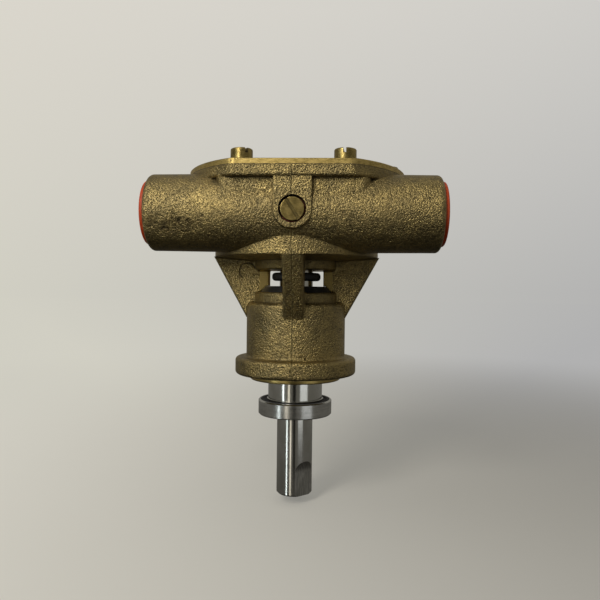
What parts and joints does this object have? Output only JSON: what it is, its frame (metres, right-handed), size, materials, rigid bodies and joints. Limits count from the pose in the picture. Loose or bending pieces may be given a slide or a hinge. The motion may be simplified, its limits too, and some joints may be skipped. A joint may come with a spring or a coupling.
{
  "type": "seawater pump",
  "caption": "Flange-mounted flexible-impeller seawater pump with a ribbed bronze body, two capped ports and a keyed drive shaft in two ball bearings.",
  "frame": {"origin": "where the shaft axis meets the lower, mounting face of the flange", "axes": "+Z along the shaft towards the end cover, -Y towards the cam screw, +X towards the right port seen from the cam-screw side"},
  "size_m": [0.1296, 0.0938, 0.1557],
  "materials": {
    "cast_bronze": "sand-cast, dull",
    "machined_bronze": "machined",
    "brass_screw": "turned",
    "stainless_steel": "ground",
    "bearing_steel": "polished",
    "spring_steel": "blackened",
    "black_rubber": "moulded",
    "red_plastic": "satin",
    "gasket_paper": "plain",
    "fibre": "plain",
    "seal_ceramic": "lapped",
    "seal_carbon": "lapped"
  },
  "bodies": {
    "housing": {"pump_body": "cast_bronze", "end_cover": "machined_bronze", "cover_gasket": "gasket_paper", "cover_screw_1": "brass_screw", "cover_screw_2": "brass_screw", "cover_screw_3": "brass_screw", "cover_screw_4": "brass_screw", "cover_screw_5": "brass_screw", "cover_screw_6": "brass_screw", "cam": "machined_bronze", "cam_screw": "brass_screw", "cam_screw_washer": "fibre", "wear_plate": "machined_bronze", "wear_plate_pin": "brass_screw", "oil_seal": "black_rubber", "seal_seat_cup": "black_rubber", "seal_seat": "seal_ceramic", "inner_bearing_outer_ring": "bearing_steel", "inner_bearing_upper_seal": "bearing_steel", "inner_bearing_lower_seal": "bearing_steel", "bearing_circlip": "spring_steel"},
    "rotor": {"shaft": "stainless_steel", "impeller": "black_rubber", "impeller_insert": "machined_bronze", "impeller_key": "stainless_steel", "slinger": "black_rubber", "seal_face": "seal_carbon", "seal_bellows": "black_rubber", "seal_spring": "stainless_steel", "seal_case": "stainless_steel", "inner_bearing_inner_ring": "bearing_steel", "bearing_spacer": "stainless_steel", "spacer_shim": "stainless_steel", "outer_bearing_inner_ring": "bearing_steel", "shaft_circlip": "spring_steel"},
    "inner_cage": {"inner_bearing_balls": "bearing_steel", "inner_bearing_cage": "bearing_steel"},
    "outer_race": {"outer_bearing_outer_ring": "bearing_steel", "outer_bearing_upper_seal": "black_rubber", "outer_bearing_lower_seal": "black_rubber"},
    "outer_cage": {"outer_bearing_balls": "bearing_steel", "outer_bearing_cage": "bearing_steel"},
    "left_plug": {"port_plug_left": "red_plastic"},
    "right_plug": {"port_plug_right": "red_plastic"}
  },
  "joints": [
    {"name": "shaft_spin", "type": "hinge", "parent": "housing", "child": "rotor", "pos_m": [0, 0, 0], "axis": [0, 0, 1], "continuous": true, "deforming": ["impeller"]},
    {"name": "inner_cage_turn", "type": "hinge", "parent": "housing", "child": "inner_cage", "pos_m": [0, 0, 0], "axis": [0, 0, 1], "continuous": true},
    {"name": "outer_race_spin", "type": "hinge", "parent": "rotor", "child": "outer_race", "pos_m": [0, 0, 0], "axis": [0, 0, 1], "continuous": true},
    {"name": "outer_cage_turn", "type": "hinge", "parent": "rotor", "child": "outer_cage", "pos_m": [0, 0, 0], "axis": [0, 0, 1], "continuous": true},
    {"name": "port_plug_left_pull", "type": "slide", "parent": "housing", "child": "left_plug", "axis": [-1, 0, 0], "range_m": [0, 0.04]},
    {"name": "port_plug_right_pull", "type": "slide", "parent": "housing", "child": "right_plug", "axis": [1, 0, 0], "range_m": [0, 0.04]}
  ],
  "couplings": [
    {"joint": "inner_cage_turn", "follows": "shaft_spin", "ratio": 0.40962},
    {"joint": "outer_cage_turn", "follows": "outer_race_spin", "ratio": 0.59038}
  ]
}
